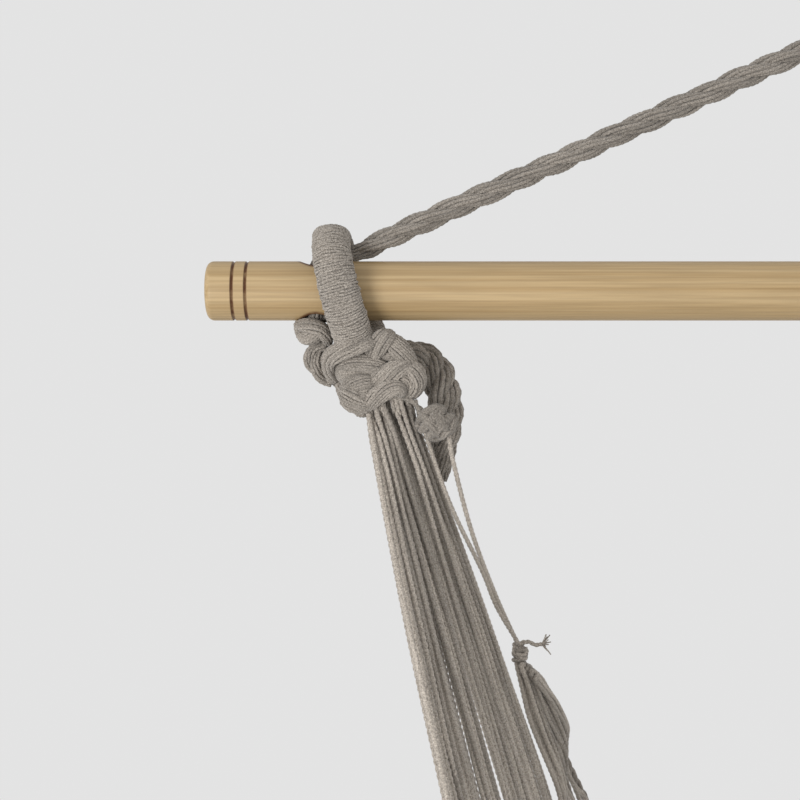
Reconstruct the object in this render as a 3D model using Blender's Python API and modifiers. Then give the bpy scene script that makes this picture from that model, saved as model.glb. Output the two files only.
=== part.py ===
"""Hanging hammock chair: a cotton string sling on a pine spreader bar, hung from one rope eye.

Metres, +Z up, +X along the bar, front of the seat towards -Y.
The origin is the bearing point at the top inside of the hanging eye.
"""

import math

import bmesh
import bpy
from mathutils import Vector

# ---------------------------------------------------------------- driving sizes
CLEARANCE = 0.0003

# spreader bar
BAR_LENGTH = 1.000
BAR_RADIUS = 0.019
BAR_END_ROUND = 0.0045
GROOVE_OFFSETS = (0.0175, 0.0260)
GROOVE_WIDTH = 0.0018
GROOVE_DEPTH = 0.0008
HOLE_RADIUS = 0.011
HOLE_INSET = 0.0703
BAR_STEPS = 28

# suspension rope
ROPE_RADIUS = 0.0065
ROPE_PINCHED = 0.58
ROPE_RISE = math.radians(24.3)
ROPE_RUN = 0.046
ROPE_LIFT = 0.0088

# hanging eye and neck
EYE_RADIUS = 0.0085
EYE_INNER_RADIUS = 0.020
EYE_LEG = 0.040
EYE_KNOT_RADIUS = 0.0165
NECK_RADIUS = 0.0135
NECK_LENGTH = 0.030
CROWN_KNOT_RADIUS = 0.0165

# whipped eye loop over the bar
LOOP_RADIUS = 0.0115
LOOP_CROWN_RADIUS = 0.0080
LOOP_INSET = 0.080
# one leg of the eye from the knot to the crown: degrees above level, gap to the bar, radius share
LOOP_LEG = (
    (-66.5, 0.0071, 1.00),
    (-50.2, 0.0047, 1.00),
    (-27.4, 0.0022, 1.00),
    (0.0, 0.0012, 1.00),
    (28.8, 0.0049, 0.90),
    (58.3, 0.0075, 0.76),
)
# how far each row of a leg is carried towards the middle of the bar
FRONT_LEG_SHIFTS = (0.0145, 0.0130, 0.0095, 0.0055, 0.0020, 0.0005)
BACK_LEG_SHIFTS = (0.0260, 0.0225, 0.0170, 0.0105, 0.0055, 0.0020)

# knots under the bar, placed from the bar and from the collar they hang on
STOPPER_SIZE = Vector((0.0120, 0.0120, 0.0077))
COLLAR_SIZE = Vector((0.0335, 0.0225, 0.0205))
COLLAR_INSET = 0.1065
COLLAR_DROP = BAR_RADIUS + LOOP_RADIUS + 0.0256
COLLAR_TILT = math.radians(18)
# the tail keeps behind the eye, so its place follows the whipped bundle's radius
TAIL_BACK = 2 * LOOP_RADIUS + 0.0100
TAIL_ROWS = (
    ((0.0005, 0.0000, 0.0115), 0.0080),
    ((0.0195, 0.0020, 0.0145), 0.0085),
    ((0.0325, -0.0020, 0.0055), 0.0090),
    ((0.0395, -0.0050, -0.0085), 0.0090),
    ((0.0435, -0.0060, -0.0225), 0.0090),
    ((0.0455, -0.0050, -0.0365), 0.0080),
    ((0.0435, -0.0020, -0.0515), 0.0060),
    ((0.0415, 0.0010, -0.0705), 0.0030),
)
BUTTON_RADIUS = 0.0112
BUTTON_FROM_COLLAR = Vector((0.0425, -0.0080, -0.0275))
TIE_CORD_RADIUS = 0.0016
TIE_KNOT_SIZE = Vector((0.0075, 0.0075, 0.0095))
TIE_FROM_COLLAR = Vector((0.1015, 0.0750, -0.1905))
TIED_FAN = Vector((0.010, 0.006, 0.0))

# sling: strings fan out from the mouth of each collar
MOUTH_DROP = COLLAR_DROP + 0.0237
MOUTH_INSET = 0.1170
MOUTH_HALF_WIDTH = 0.0160
MOUTH_HALF_DEPTH = 0.0095
MOUTH_SLANT = 0.0060
MOUTH_REACH = 0.25
FRONT_ANGLE = math.radians(-22.5)
BACK_ANGLE = math.radians(29.5)
FRONT_LEAN = math.radians(12.4)
BACK_LEAN = math.radians(21.0)
SEAT_DEPTH = 0.800
BACK_RISE = 0.240
LEVEL_SHARE = 0.15
ARM_SHARE = 0.52
STRING_SHEET = 0.0050
NET_SHEET = 0.0040
SELVEDGE_RADIUS = 0.0040
SELVEDGE_PUSH = SELVEDGE_RADIUS + NET_SHEET / 2

# shares of the sling from its front edge (0) to its back edge (1)
FRONT_SPAN = (0.00, 0.185)
SEAT_SPAN = (0.20, 0.80)
BACK_SPAN = (0.815, 1.00)
JOIN_GAP = 0.010
NET_EDGE = 0.5

PARTS = "hanging_hammock_chair"
SIDES = (("left", -1.0), ("right", 1.0))


# ---------------------------------------------------------------- heights down the rope
def neck_heights():
    """Centres down the neck: eye knot, binding and crown knot."""
    leg_end = EYE_RADIUS - (EYE_INNER_RADIUS + EYE_RADIUS) - EYE_LEG
    knot = leg_end - EYE_KNOT_RADIUS - CLEARANCE
    binding = knot - EYE_KNOT_RADIUS - CLEARANCE - NECK_LENGTH / 2
    crown = binding - NECK_LENGTH / 2 - CLEARANCE - CROWN_KNOT_RADIUS
    return leg_end, knot, binding, crown


def rope_lift():
    """Where the rope has left the bar and starts its straight rise: X from the middle, Z over the bar."""
    return BAR_LENGTH / 2 - HOLE_INSET - ROPE_RUN, BAR_RADIUS + ROPE_RADIUS + ROPE_LIFT


def bar_height():
    """The rope's rise from the bar to the crown knot sets how low the bar hangs."""
    reach, lift = rope_lift()
    return neck_heights()[3] - lift - reach * math.tan(ROPE_RISE)


BAR_Z = bar_height()


def from_collar(side, offset):
    """World point at an offset from the collar's centre: towards the middle, back and up."""
    x = side * (BAR_LENGTH / 2 - COLLAR_INSET - offset[0])
    return Vector((x, offset[1], BAR_Z - COLLAR_DROP + offset[2]))


# ---------------------------------------------------------------- scene and helpers
def clear_scene():
    for obj in list(bpy.data.objects):
        bpy.data.objects.remove(obj, do_unlink=True)


def new_collection(name):
    collection = bpy.data.collections.new(name)
    bpy.context.scene.collection.children.link(collection)
    return collection


def new_material(name, colour, roughness):
    material = bpy.data.materials.new(name)
    material.use_nodes = True
    shader = material.node_tree.nodes["Principled BSDF"]
    shader.inputs["Base Color"].default_value = (*colour, 1.0)
    shader.inputs["Roughness"].default_value = roughness
    shader.inputs["Metallic"].default_value = 0.0
    return material


def add_object(name, data, collection, material=None):
    obj = bpy.data.objects.new(name, data)
    collection.objects.link(obj)
    if material is not None:
        data.materials.append(material)
    return obj


def smooth_route(points, step):
    """Smooth curve through (position, radius) pairs, read about every `step` metres."""
    places = [Vector(place) for place, _ in points]
    spans = [(b - a).length for a, b in zip(places, places[1:])]
    tangents = [(places[1] - places[0]) / spans[0]]
    for i in range(1, len(places) - 1):
        tangents.append((places[i + 1] - places[i - 1]) / (spans[i - 1] + spans[i]))
    tangents.append((places[-1] - places[-2]) / spans[-1])
    fine = []
    for i, span in enumerate(spans):
        count = max(1, round(span / step))
        for k in range(count):
            t = k / count
            rise = t * t * (3 - 2 * t)
            place = places[i] * (1 - rise) + places[i + 1] * rise
            place += tangents[i] * span * (t * (1 - t) ** 2)
            place -= tangents[i + 1] * span * (t * t * (1 - t))
            fine.append((place, mix(points[i][1], points[i + 1][1], t)))
    fine.append((places[-1], points[-1][1]))
    return fine


def tube(name, route, collection, material, resolution):
    """Round tube along (position, radius) pairs, with filled caps."""
    curve = bpy.data.curves.new(name, "CURVE")
    curve.dimensions = "3D"
    curve.bevel_depth = 1.0
    curve.bevel_resolution = resolution
    curve.use_fill_caps = True
    spline = curve.splines.new("POLY")
    spline.points.add(len(route) - 1)
    for point, (place, radius) in zip(spline.points, route, strict=True):
        point.co = (*place, 1.0)
        point.radius = radius
    spline.use_smooth = True
    return add_object(name, curve, collection, material)


def ball(name, centre, size, collection, material, counts, tilt=0.0):
    """Ellipsoid knot body, tilted about Y; counts are its segments round and its rings."""
    mesh = bpy.data.meshes.new(name)
    shape = bmesh.new()
    bmesh.ops.create_uvsphere(shape, u_segments=counts[0], v_segments=counts[1], radius=1.0)
    bmesh.ops.scale(shape, vec=size, verts=shape.verts)
    shape.to_mesh(mesh)
    shape.free()
    mesh.shade_smooth()
    obj = add_object(name, mesh, collection, material)
    obj.location = centre
    obj.rotation_euler = (0.0, tilt, 0.0)
    return obj


# ---------------------------------------------------------------- sling surface
def mix(a, b, t):
    return a + (b - a) * t


def smooth_step(t):
    t = min(1.0, max(0.0, t))
    return t * t * (3 - 2 * t)


def fan_angle(share):
    return mix(FRONT_ANGLE, BACK_ANGLE, share)


def depth_at(share):
    climb = max(0.0, (share - LEVEL_SHARE) / (1 - LEVEL_SHARE))
    return SEAT_DEPTH - BACK_RISE * climb**2


def lean_at(share):
    return mix(FRONT_LEAN, BACK_LEAN, share)


def sling_point(share, along):
    """Point on the sling: share runs front to back, along runs -1 to 1 from left to right collar."""
    angle = fan_angle(share)
    depth = depth_at(share)
    mouth_x = -BAR_LENGTH / 2 + MOUTH_INSET + MOUTH_HALF_WIDTH * (2 * share - 1)
    arm_drop = ARM_SHARE * depth
    arm_x = mouth_x + arm_drop * math.tan(lean_at(share))
    bend_x = arm_x + (depth - arm_drop) * math.tan(lean_at(share))
    reach = abs(along)
    if reach > NET_EDGE:
        t = (1 - reach) / (1 - NET_EDGE)
        x = mix(mouth_x, arm_x, t)
        drop = arm_drop * t
    else:
        t = 1 - reach / NET_EDGE
        x = (1 - t) ** 2 * arm_x + 2 * t * (1 - t) * bend_x
        drop = (1 - t) ** 2 * arm_drop + (1 - (1 - t) ** 2) * depth
    at_mouth = 1 - smooth_step(drop / MOUTH_REACH)
    y = drop * math.sin(angle) + at_mouth * MOUTH_HALF_DEPTH * (2 * share - 1)
    slant = at_mouth * MOUTH_SLANT * (2 * share - 1)
    z = BAR_Z - MOUTH_DROP - drop * math.cos(angle) + slant
    return Vector((math.copysign(x, along) if along else 0.0, y, z))


def sling_sheet(name, span, along, thickness, counts, collection, material, route):
    """Closed sheet over a patch of the sling surface."""
    mesh = bpy.data.meshes.new(name)
    shape = bmesh.new()
    bmesh.ops.create_grid(shape, x_segments=counts[0], y_segments=counts[1], size=0.5)
    for vert in shape.verts:
        share = mix(span[0], span[1], vert.co.y + 0.5)
        vert.co = route(share, mix(along[0], along[1], vert.co.x + 0.5))
    shape.to_mesh(mesh)
    shape.free()
    mesh.shade_smooth()
    obj = add_object(name, mesh, collection, material)
    solid = obj.modifiers.new("thickness", "SOLIDIFY")
    solid.thickness = thickness
    solid.offset = 0.0
    solid.use_even_offset = False
    return obj


def tied_point(share, along):
    """Back strings: they start at the tie knot and join the sling surface at the net."""
    side = math.copysign(1.0, along)
    across = (share - BACK_SPAN[0]) / (BACK_SPAN[1] - BACK_SPAN[0]) - 0.5
    start = from_collar(side, TIE_FROM_COLLAR)
    start += Vector((-side * TIED_FAN.x, TIED_FAN.y, 0.0)) * across
    start.z -= TIE_KNOT_SIZE.z + STRING_SHEET
    return start.lerp(sling_point(share, side * NET_EDGE), (1 - abs(along)) / (1 - NET_EDGE))


# ---------------------------------------------------------------- spreader bar
def make_bar(parts, cutters, wood, cutter_material):
    half = BAR_LENGTH / 2
    ends = [(0.0, half), (BAR_RADIUS - BAR_END_ROUND, half)]
    for k in range(1, 5):
        turn = math.radians(90) * k / 4
        ends.append(
            (
                BAR_RADIUS - BAR_END_ROUND * (1 - math.sin(turn)),
                half - BAR_END_ROUND * (1 - math.cos(turn)),
            )
        )
    for offset in GROOVE_OFFSETS:
        ends.append((BAR_RADIUS, half - offset + GROOVE_WIDTH / 2))
        ends.append((BAR_RADIUS - GROOVE_DEPTH, half - offset))
        ends.append((BAR_RADIUS, half - offset - GROOVE_WIDTH / 2))
    profile = ends + [(radius, -height) for radius, height in reversed(ends)]
    mesh = bpy.data.meshes.new("spreader_bar")
    mesh.from_pydata(
        [(radius, 0.0, height) for radius, height in profile],
        [(i, i + 1) for i in range(len(profile) - 1)],
        [],
    )
    bar = add_object("spreader_bar", mesh, parts, wood)
    bar.location = (0.0, 0.0, BAR_Z)
    bar.rotation_euler = (0.0, math.radians(90), 0.0)
    turned = bar.modifiers.new("turned", "SCREW")
    turned.angle = math.tau
    turned.steps = BAR_STEPS
    turned.render_steps = BAR_STEPS
    turned.axis = "Z"
    turned.use_merge_vertices = True
    turned.merge_threshold = 0.00005
    for side_name, side in SIDES:
        hole_mesh = bpy.data.meshes.new(f"{side_name}_hole_cutter")
        shape = bmesh.new()
        bmesh.ops.create_cone(
            shape,
            cap_ends=True,
            segments=24,
            radius1=HOLE_RADIUS,
            radius2=HOLE_RADIUS,
            depth=4 * BAR_RADIUS,
        )
        shape.to_mesh(hole_mesh)
        shape.free()
        hole = add_object(f"{side_name}_hole_cutter", hole_mesh, cutters, cutter_material)
        hole.location = (side * (half - HOLE_INSET), 0.0, BAR_Z)
        hole.hide_render = True
        hole.display_type = "WIRE"
        cut = bar.modifiers.new(f"{side_name}_hole", "BOOLEAN")
        cut.operation = "DIFFERENCE"
        cut.object = hole
    return bar


# ---------------------------------------------------------------- ropes and neck
def make_hanging_eye(parts, cotton):
    leg_end = neck_heights()[0]
    bend = EYE_INNER_RADIUS + EYE_RADIUS
    centre_z = EYE_RADIUS - bend
    foot = EYE_RADIUS + CLEARANCE
    route = [(Vector((-foot, 0.0, leg_end)), EYE_RADIUS)]
    route.append((Vector((-foot - 0.0005, 0.0, leg_end + 0.006)), EYE_RADIUS))
    for k in range(9):
        turn = math.radians(-100 + 200 * k / 8)
        place = Vector((bend * math.sin(turn), 0.0, centre_z + bend * math.cos(turn)))
        route.append((place, EYE_RADIUS))
    route.append((Vector((foot + 0.0005, 0.0, leg_end + 0.006)), EYE_RADIUS))
    route.append((Vector((foot, 0.0, leg_end)), EYE_RADIUS))
    return tube("hanging_eye", smooth_route(route, 0.006), parts, cotton, 3)


def make_neck(parts, cotton):
    _, knot_z, binding_z, crown_z = neck_heights()
    size = Vector((EYE_KNOT_RADIUS,) * 3)
    ball("eye_knot", Vector((0.0, 0.0, knot_z)), size, parts, cotton, (20, 10))
    mesh = bpy.data.meshes.new("neck_binding")
    shape = bmesh.new()
    bmesh.ops.create_cone(
        shape,
        cap_ends=True,
        segments=28,
        radius1=NECK_RADIUS,
        radius2=NECK_RADIUS,
        depth=NECK_LENGTH,
    )
    shape.to_mesh(mesh)
    shape.free()
    binding = add_object("neck_binding", mesh, parts, cotton)
    binding.location = (0.0, 0.0, binding_z)
    size = Vector((CROWN_KNOT_RADIUS,) * 3)
    ball("crown_knot", Vector((0.0, 0.0, crown_z)), size, parts, cotton, (20, 10))


def make_suspension_rope(side_name, side, parts, cotton):
    crown_z = neck_heights()[3]
    hole_x = BAR_LENGTH / 2 - HOLE_INSET
    top = BAR_RADIUS + CLEARANCE
    pinched = ROPE_RADIUS * ROPE_PINCHED
    rise = Vector((-math.cos(ROPE_RISE), 0.0, math.sin(ROPE_RISE)))
    apex = Vector((0.0, 0.0, crown_z - BAR_Z)) - rise * (CROWN_KNOT_RADIUS + 0.0015)
    reach, height = rope_lift()
    lift = Vector((reach, 0.0, height))
    rows = [
        ((hole_x, 0.0, -BAR_RADIUS), ROPE_RADIUS),
        ((hole_x, 0.0, 0.0), ROPE_RADIUS),
        ((hole_x - 0.0005, 0.0, 0.0120), ROPE_RADIUS * 0.92),
        ((hole_x - 0.0040, 0.0, top + 0.0012), ROPE_RADIUS * 0.70),
        ((hole_x - 0.0105, 0.0, top + pinched + 0.0001), pinched),
        ((hole_x - 0.0190, 0.0, top + pinched + 0.0004), pinched),
        ((hole_x - 0.0265, 0.0, top + pinched + 0.0020), ROPE_RADIUS * 0.75),
        ((hole_x - 0.0350, 0.0, top + ROPE_RADIUS + 0.0030), ROPE_RADIUS * 0.97),
        (tuple(lift), ROPE_RADIUS),
        (tuple(lift.lerp(apex, 0.33)), ROPE_RADIUS),
        (tuple(lift.lerp(apex, 0.66)), ROPE_RADIUS),
        (tuple(apex), ROPE_RADIUS),
    ]
    route = [(Vector((side * x, y, z + BAR_Z)), radius) for (x, y, z), radius in rows]
    fine = smooth_route(route[:9], 0.005) + smooth_route(route[8:], 0.030)[1:]
    return tube(f"{side_name}_suspension_rope", fine, parts, cotton, 3)


def make_stopper(side_name, side, parts, cotton):
    centre = Vector((side * (BAR_LENGTH / 2 - HOLE_INSET + 0.0018), 0.0, BAR_Z))
    centre.z -= BAR_RADIUS + CLEARANCE + STOPPER_SIZE.z
    return ball(f"{side_name}_stopper_knot", centre, STOPPER_SIZE, parts, cotton, (20, 10))


# ---------------------------------------------------------------- sling ends
def leg_point(side, way, row, shift):
    """Point on one leg of the eye; way is -1 in front of the bar and 1 behind it."""
    degrees, gap, share = row
    distance = BAR_RADIUS + gap + LOOP_RADIUS * share
    turn = math.radians(degrees)
    x = side * (BAR_LENGTH / 2 - LOOP_INSET - shift)
    place = Vector((x, way * distance * math.cos(turn), BAR_Z + distance * math.sin(turn)))
    return place, LOOP_RADIUS * share


def make_eye_loop(side_name, side, parts, cotton):
    """Whipped eye over the bar, with the pinched rope passing under its crown."""
    height = BAR_RADIUS + 2 * ROPE_RADIUS * ROPE_PINCHED + 4 * CLEARANCE + LOOP_CROWN_RADIUS
    crown = Vector((side * (BAR_LENGTH / 2 - LOOP_INSET), 0.0, BAR_Z + height))
    front = zip(LOOP_LEG, FRONT_LEG_SHIFTS, strict=True)
    back = zip(LOOP_LEG, BACK_LEG_SHIFTS, strict=True)
    route = [leg_point(side, -1, row, shift) for row, shift in front]
    route.append((crown, LOOP_CROWN_RADIUS))
    route += [leg_point(side, 1, row, shift) for row, shift in back][::-1]
    return tube(f"{side_name}_eye_loop", smooth_route(route, 0.006), parts, cotton, 3)


def make_collar(side_name, side, parts, cotton):
    centre = from_collar(side, (0.0, 0.0, 0.0))
    tilt = -side * COLLAR_TILT
    return ball(f"{side_name}_collar_knot", centre, COLLAR_SIZE, parts, cotton, (24, 12), tilt)


def make_collar_tail(side_name, side, parts, cotton):
    route = [(from_collar(side, (x, TAIL_BACK + y, z)), radius) for (x, y, z), radius in TAIL_ROWS]
    return tube(f"{side_name}_collar_tail", smooth_route(route, 0.010), parts, cotton, 2)


def make_tie(side_name, side, parts, cotton):
    button = from_collar(side, BUTTON_FROM_COLLAR)
    size = Vector((BUTTON_RADIUS,) * 3)
    ball(f"{side_name}_tie_button", button, size, parts, cotton, (16, 8))
    knot = from_collar(side, TIE_FROM_COLLAR)
    ball(f"{side_name}_tie_knot", knot, TIE_KNOT_SIZE, parts, cotton, (14, 8))
    rows = [
        button + Vector((-side * 0.0065, 0.0030, -BUTTON_RADIUS - 0.0010)),
        button + Vector((-side * 0.0085, 0.0080, -BUTTON_RADIUS - 0.0148)),
        button.lerp(knot, 0.45) + Vector((side * 0.0010, -0.0030, -0.0010)),
        button.lerp(knot, 0.75) + Vector((side * 0.0010, -0.0010, 0.0010)),
        knot + Vector((side * 0.0030, -0.0030, TIE_KNOT_SIZE.z + 0.0010)),
    ]
    route = [(place, TIE_CORD_RADIUS) for place in rows]
    tube(f"{side_name}_tie_cord", smooth_route(route, 0.008), parts, cotton, 2)


def make_arm_strings(side_name, side, parts, cotton):
    net = side * (NET_EDGE + JOIN_GAP / 2)
    mouth = side * 0.9995
    for label, span, start, columns, route in (
        ("front", FRONT_SPAN, mouth, 4, sling_point),
        ("arm", SEAT_SPAN, mouth, 9, sling_point),
        ("back", BACK_SPAN, side, 4, tied_point),
    ):
        name = f"{side_name}_{label}_strings"
        along = (start, net)
        sling_sheet(name, span, along, STRING_SHEET, (12, columns), parts, cotton, route)


# ---------------------------------------------------------------- woven seat
def make_net(parts, cotton):
    edge = NET_EDGE - JOIN_GAP / 2
    for name, span, columns in (
        ("front_net", FRONT_SPAN, 4),
        ("seat_net", SEAT_SPAN, 12),
        ("back_net", BACK_SPAN, 4),
    ):
        counts = (24, columns)
        sling_sheet(name, span, (-edge, edge), NET_SHEET, counts, parts, cotton, sling_point)


def make_selvedge(name, share, push, parts, cotton):
    steps, edge = 40, 0.47
    route = []
    for k in range(steps + 1):
        along = mix(-edge, edge, k / steps)
        route.append((sling_point(share, along) + push, SELVEDGE_RADIUS))
    return tube(name, route, parts, cotton, 2)


# ---------------------------------------------------------------- build
def main():
    clear_scene()
    parts = new_collection(PARTS)
    cutters = new_collection("cutters")
    pine = new_material("pine", (0.58, 0.42, 0.22), 0.50)
    cotton = new_material("taupe_cotton", (0.23, 0.20, 0.165), 0.95)
    cutter_material = new_material("cutter", (0.8, 0.1, 0.1), 1.0)
    make_hanging_eye(parts, cotton)
    make_neck(parts, cotton)
    make_bar(parts, cutters, pine, cutter_material)
    for side_name, side in SIDES:
        make_suspension_rope(side_name, side, parts, cotton)
        make_stopper(side_name, side, parts, cotton)
        make_eye_loop(side_name, side, parts, cotton)
        make_collar(side_name, side, parts, cotton)
        make_collar_tail(side_name, side, parts, cotton)
        make_tie(side_name, side, parts, cotton)
        make_arm_strings(side_name, side, parts, cotton)
    make_net(parts, cotton)
    push = Vector((0.0, SELVEDGE_PUSH, 0.0))
    make_selvedge("front_selvedge", FRONT_SPAN[0], -push, parts, cotton)
    make_selvedge("back_selvedge", BACK_SPAN[1], push, parts, cotton)


main()
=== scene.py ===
"""Hanging hammock chair: the looks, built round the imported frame. Metres, +Z up, front towards -Y."""

import math

import bpy
import numpy as np
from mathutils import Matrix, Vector


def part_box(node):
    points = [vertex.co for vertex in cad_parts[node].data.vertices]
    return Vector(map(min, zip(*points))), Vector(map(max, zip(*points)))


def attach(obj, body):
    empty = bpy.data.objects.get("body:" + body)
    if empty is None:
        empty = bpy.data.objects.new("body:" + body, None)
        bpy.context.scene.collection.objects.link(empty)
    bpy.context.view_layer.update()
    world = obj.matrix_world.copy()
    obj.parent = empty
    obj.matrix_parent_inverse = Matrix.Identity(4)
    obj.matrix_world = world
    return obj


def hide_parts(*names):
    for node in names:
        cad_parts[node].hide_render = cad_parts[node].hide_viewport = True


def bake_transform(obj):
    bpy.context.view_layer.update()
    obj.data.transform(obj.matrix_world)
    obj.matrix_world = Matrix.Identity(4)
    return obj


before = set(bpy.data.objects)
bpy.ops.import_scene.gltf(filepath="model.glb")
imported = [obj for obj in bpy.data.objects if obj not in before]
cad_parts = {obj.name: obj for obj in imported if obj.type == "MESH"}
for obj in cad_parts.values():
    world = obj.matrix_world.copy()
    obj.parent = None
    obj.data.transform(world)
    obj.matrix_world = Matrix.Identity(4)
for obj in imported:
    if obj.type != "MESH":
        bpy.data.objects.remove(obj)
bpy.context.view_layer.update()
rng = np.random.default_rng(7)

MM = 0.001
TURN = 2 * math.pi
SIDES = (("left", -1.0), ("right", 1.0))

# -------- places
# the bar, read from the frame
BAR_LO, BAR_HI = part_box("spreader_bar")
HALF = BAR_HI.x
BAR_Z = (BAR_LO.z + BAR_HI.z) / 2
BAR_R = (BAR_HI.z - BAR_LO.z) / 2

# along the bar, in from its end
HOLE_INSET = 70.3 * MM
COLLAR_INSET = 106.5 * MM
HOLE_RADIUS = 11.0 * MM
GROOVES = (17.5 * MM, 26.0 * MM)
END_ROUNDING = 4.5 * MM

# sling surface, as the CAD holds it
COLLAR_DROP = 56.1 * MM
MOUTH_DROP = COLLAR_DROP + 23.7 * MM
MOUTH_INSET = 117.0 * MM
MOUTH_HALF_WIDTH = 16.0 * MM
MOUTH_HALF_DEPTH = 9.5 * MM
MOUTH_SLANT = 6.0 * MM
FRONT_ANGLE, BACK_ANGLE = math.radians(-22.5), math.radians(29.5)
FRONT_LEAN, BACK_LEAN = math.radians(12.4), math.radians(21.0)
SEAT_DEPTH, BACK_RISE, ARM_SHARE = 0.800, 0.240, 0.52
TIE_POINT = (208.0 * MM, 75.0 * MM, -COLLAR_DROP - 190.5 * MM)

# how each kind of string is swept: facets, lobes, their depth and the length of one twist
STRING_R = 1.72 * MM
ARM_YARN = (10, 2, 0.38, 8.5 * MM)
NET_YARN = (8, 2, 0.26, 12 * MM)
TIE_YARN = (10, 2, 0.36, 8 * MM)
KNOT_YARN = (9, 2, 0.36, 7 * MM)


# -------- camera
CAMERA_PLACE = (-0.3762, -0.81, BAR_Z - 0.0702)
LENS, SENSOR = 56.6, 36.0


def make_camera():
    data = bpy.data.cameras.new("camera")
    camera = bpy.data.objects.new("camera", data)
    bpy.context.scene.collection.objects.link(camera)
    camera.location = CAMERA_PLACE
    camera.rotation_euler = (math.radians(90), 0.0, 0.0)
    data.sensor_width = SENSOR
    data.lens = LENS
    data.clip_start = 0.01
    bpy.context.scene.camera = camera


# -------- curves
def at(points, side):
    """Points given in mm as (in from the bar's end, Y, Z over the bar's axis) -> world array."""
    p = np.asarray(points, float) * MM
    return np.stack([side * (HALF - p[..., 0]), p[..., 1], BAR_Z + p[..., 2]], axis=-1)


def mm(*values):
    return np.array(values) * MM


def eased(t):
    return t * t * (3 - 2 * t)


def unit(v):
    return v / np.maximum(np.linalg.norm(v, axis=-1, keepdims=True), 1e-12)


def ring_angles(sides):
    return np.arange(sides) * (TURN / sides)


def arc_along(path):
    """Distance run along a path at each of its points."""
    return np.concatenate([[0], np.cumsum(np.linalg.norm(np.diff(path, axis=0), axis=1))])


def smooth(points, step, values=None):
    """Smooth curve through points, read every step; values are carried along with it."""
    p = np.asarray(points, float)
    span = np.linalg.norm(np.diff(p, axis=0), axis=1)
    rate = np.empty_like(p)
    rate[0] = (p[1] - p[0]) / span[0]
    rate[-1] = (p[-1] - p[-2]) / span[-1]
    rate[1:-1] = (p[2:] - p[:-2]) / (span[:-1] + span[1:])[:, None]
    places, carried = [], []
    for i, length in enumerate(span):
        n = max(1, round(length / step))
        t = (np.arange(n) / n)[:, None]
        rise = eased(t)
        place = p[i] * (1 - rise) + p[i + 1] * rise
        place = place + rate[i] * length * t * (1 - t) ** 2 - rate[i + 1] * length * t * t * (1 - t)
        places.append(place)
        if values is not None:
            carried.append(values[i] * (1 - rise[:, 0]) + values[i + 1] * rise[:, 0])
    places.append(p[-1:])
    out = np.concatenate(places)
    if values is None:
        return out
    carried.append(np.array([values[-1]]))
    return out, np.concatenate(carried)


def resample(path, count):
    arc = arc_along(path)
    want = np.linspace(0, arc[-1], count)
    return np.stack([np.interp(want, arc, path[:, k]) for k in range(3)], axis=1)


def tangents(paths, closed):
    if closed:
        return unit(np.roll(paths, -1, axis=1) - np.roll(paths, 1, axis=1))
    return unit(np.gradient(paths, axis=1))


def transported(tangent, start=None):
    """Normals carried along each path without twist."""
    normal = np.empty_like(tangent)
    if start is None:
        guide = np.where(np.abs(tangent[:, 0, 2:3]) > 0.8, [[1.0, 0, 0]], [[0, 0, 1.0]])
    else:
        guide = np.asarray(start, float)
    n = guide
    for i in range(tangent.shape[1]):
        n = unit(n - (n * tangent[:, i]).sum(-1, keepdims=True) * tangent[:, i])
        normal[:, i] = n
    return normal


def section_axes(path, axis):
    """Along each path: its tangent, `axis` made square to it, and the direction square to both."""
    tangent = unit(np.gradient(path, axis=0))
    axis = np.asarray(axis, float)
    across = unit(axis - (tangent @ axis)[:, None] * tangent)
    return tangent, across, np.cross(tangent, across)


def smooth_noise(count, every, size):
    """Smooth random numbers."""
    knots = np.arange(0, count + 2 * every, every)
    return np.interp(np.arange(count), knots, rng.normal(0, size, len(knots)))


def soft_noise(count, length, every, size):
    """Smooth random offsets, one run for each of `count` lines."""
    knots = np.arange(0, length + 2 * every, every)
    values = rng.normal(0, size, (count, len(knots), 3))
    where = np.arange(length) / every
    low = where.astype(int)
    t = eased((where - low)[None, :, None])
    return values[:, low] * (1 - t) + values[:, low + 1] * t


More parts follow.
